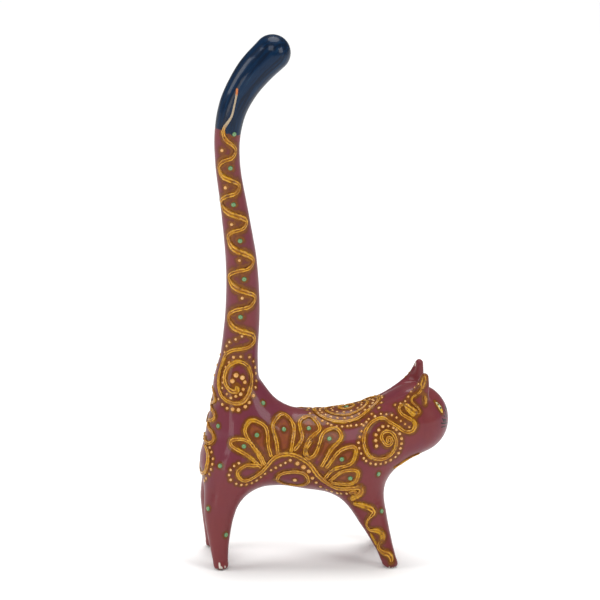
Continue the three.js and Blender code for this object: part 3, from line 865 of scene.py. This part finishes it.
# The green dots: wider drops of thick green paint, one in each petal and each wave of the tail line,
# with a dimple left by the brush handle.
dimple_radius, dimple_depth = 0.55, 0.4
green_radius, green_height = 1.35, 0.7
dimpled = new_drop(16, 12)
radial_values = []
for vertex in dimpled.data.vertices:
    off = math.hypot(vertex.co.x, vertex.co.y) / mm
    if vertex.co.z > 0 and off < dimple_radius:
        vertex.co.z -= dimple_depth * mm * (1 - (off / dimple_radius) ** 2)
    radial_values.append(off)
carry(dimpled.data, "radial", radial_values)

green_spots = [
    (-52.6, 244.9), (-54.4, 225.9), (-52.5, 205.5), (-48.7, 185.2), (-46.2, 163.7), (-48, 142.2),
    (-35, 93.3), (-59.8, 80.6), (-59, 59.9), (-46, 71.3), (-38.9, 77.5), (-23.7, 79.5), (-9.7, 79.2),
    (1.5, 74.4), (8.3, 63.7), (13.1, 52.9), (29, 54.2), (-55.5, 20.4), (-65.3, 34.8), (31.2, 32.5),
]
green_places = [(spot, land) for land in (near, far) for spot in green_spots]
green_places.append(((back_x, 0), from_above))
greens = [set_dot(dimpled, spot, land, green_radius, green_height) for spot, land in green_places]
green_light, green_mid, green_deep = linear(116, 148, 96), linear(76, 126, 74), linear(30, 60, 30)
leaf_paint, tree, shader, place = new_paint("green_dot", 0.34, 0.5, 0.1)
rings = add_node(tree, "ValToRGB", {"Fac": carried(tree, "radial")})
ramp = rings.color_ramp
ramp.elements[0].color, ramp.elements[1].color = green_deep, green_deep
for position, colour in ((0.16, green_mid), (0.45, green_light), (0.75, green_mid)):
    ramp.elements.new(position).color = colour
mottle = speckle(tree, place, 800, 2.0)
tone = mixed(tree, ranged(tree, mottle, 0.4, 0.7, 0, 0.4), rings.outputs["Color"], green_mid)
coloured(tree, shader, tone)
for green in greens:
    green.data.materials.append(leaf_paint)
gathered("green_dots", greens)
for model in (drop, dimpled):
    bpy.data.objects.remove(model)

# The amber wash beside the lines and dots, with a brown band that is partly painted shade, and inside the
# petals, as shares on the skin's corners that the lacquer reads.
tree_of_lines = kdtree.KDTree(sum(len(path) for path, _ in line_paths) + len(dot_spots))
reaches = []
for path, widths in line_paths:
    for point, width in zip(path, widths):
        tree_of_lines.insert(point, len(reaches))
        reaches.append(width)
dot_share = 0.8
for spot, radius in dot_spots:
    tree_of_lines.insert(spot, len(reaches))
    reaches.append(radius * dot_share)
tree_of_lines.balance()


def clipped(value):
    return max(0.0, min(1.0, value))


body_reach, tail_reach, thread_reach = 2.1, 3.5, 0.5
tail_foot, widening, last_wave, narrowing, thread_foot = 105, 40, 246, 8, 247
skin_points = points_of(skin)
wash_and_shade_values = []
for point in skin_points:
    _, index, distance = tree_of_lines.find(point)
    up_tail = clipped((point[2] - tail_foot) / widening) * clipped((last_wave - point[2]) / narrowing)
    spread = body_reach + (tail_reach - body_reach) * up_tail if point[2] < thread_foot else thread_reach
    beyond = (distance - reaches[index]) / spread
    wash_and_shade_values.append(clipped(1 - beyond))
carry(skin.data, "wash", wash_and_shade_values)


def inside_outline(x, z, outline):
    """Which of the points lie inside a closed outline."""
    no_zero = 1e-9
    inside = np.zeros(len(x), bool)
    for (x0, z0), (x1, z1) in zip(outline, np.roll(outline, -1, axis=0)):
        crossing = ((z0 > z) != (z1 > z)) & (x < (x1 - x0) * (z - z0) / (z1 - z0 + no_zero) + x0)
        inside ^= crossing
    return inside


fill_values = np.zeros(len(skin_points))
for petal in petals:
    outline = curve_through(petal, 6)
    fill_values[inside_outline(skin_points[:, 0], skin_points[:, 2], outline)] = 1
carry(skin.data, "petal_fill", fill_values)

# The stand-in studio: a plain pale floor, even light from above, four soft lights at the front and the
# sides, and a long lens at the picture's angle.
floor_side = 16
bpy.ops.object.select_all(action="DESELECT")
bpy.ops.mesh.primitive_plane_add(size=floor_side)
floor = bpy.context.object
floor.name = floor.data.name = "floor"
floor_paint, tree, shader, place = new_paint("floor_paint", 0.9, 0.0)
tone = mixed(tree, speckle(tree, place, 3, 2.0), linear(249, 249, 248), linear(252, 252, 251))
coloured(tree, shader, tone)
floor.data.materials.append(floor_paint)

world = bpy.data.worlds.new("studio")
world.use_nodes = True
background = world.node_tree.nodes["Background"]
background.inputs["Color"].default_value = (1, 1, 1, 1)
background.inputs["Strength"].default_value = 0.16
bpy.context.scene.world = world


def hang_light(name, lamp, place_at, aim):
    """A lamp put up at a place and turned towards its aim."""
    light = bpy.data.objects.new(name, lamp)
    light.location = place_at
    light.rotation_euler = (Vector(aim) - Vector(place_at)).to_track_quat("-Z", "Y").to_euler()
    bpy.context.scene.collection.objects.link(light)


def soft_light(name, place_at, aim, size, watts):
    lamp = bpy.data.lights.new(name, "AREA")
    lamp.size = size
    lamp.energy = watts
    hang_light(name, lamp, place_at, aim)


soft_light("key_light", (-0.5, -1.7, 1.9), (0, 0, 0.14), 1.3, 22)
soft_light("left_light", (-1.5, -0.1, 0.9), (0, 0, 0.2), 0.7, 10)
soft_light("window_light", (-1.1, -1.2, 0.25), (0, 0, 0.1), 0.45, 3)
soft_light("right_light", (1.3, -0.9, 0.9), (0, 0, 0.16), 0.8, 12)
sky_lamp = bpy.data.lights.new("sky_light", "SUN")
sky_lamp.energy = 2.5
sky_lamp.angle = math.radians(45)
hang_light("sky_light", sky_lamp, (0, 0, 0), (-0.1, -0.35, -1))

picture_side = 600
film_width = 36
far_limit = 30
focal_px = 4000
mm_per_px = 0.5627
origin_px = (321.3, 554.4)
azimuth, pitch, roll = (math.radians(angle) for angle in (-5, 16, 1))
right = Vector((math.cos(azimuth), math.sin(azimuth), 0))
level = math.cos(pitch)
back = Vector((math.sin(azimuth) * level, -math.cos(azimuth) * level, math.sin(pitch)))
up = back.cross(right)
rolled_right = right * math.cos(roll) + up * math.sin(roll)
rolled_up = up * math.cos(roll) - right * math.sin(roll)
picture_middle = picture_side / 2
target = rolled_right * (picture_middle - origin_px[0]) + rolled_up * (origin_px[1] - picture_middle)
camera_place = (target + back * focal_px) * mm_per_px * mm
lens = bpy.data.cameras.new("camera")
lens.sensor_width = film_width
lens.lens = film_width * focal_px / picture_side
lens.clip_end = far_limit
camera = bpy.data.objects.new("camera", lens)
turned = Matrix((rolled_right, rolled_up, back)).transposed().to_4x4()
camera.matrix_world = Matrix.Translation(camera_place) @ turned
bpy.context.scene.collection.objects.link(camera)
bpy.context.scene.camera = camera
bpy.context.scene.view_settings.view_transform = "Standard"
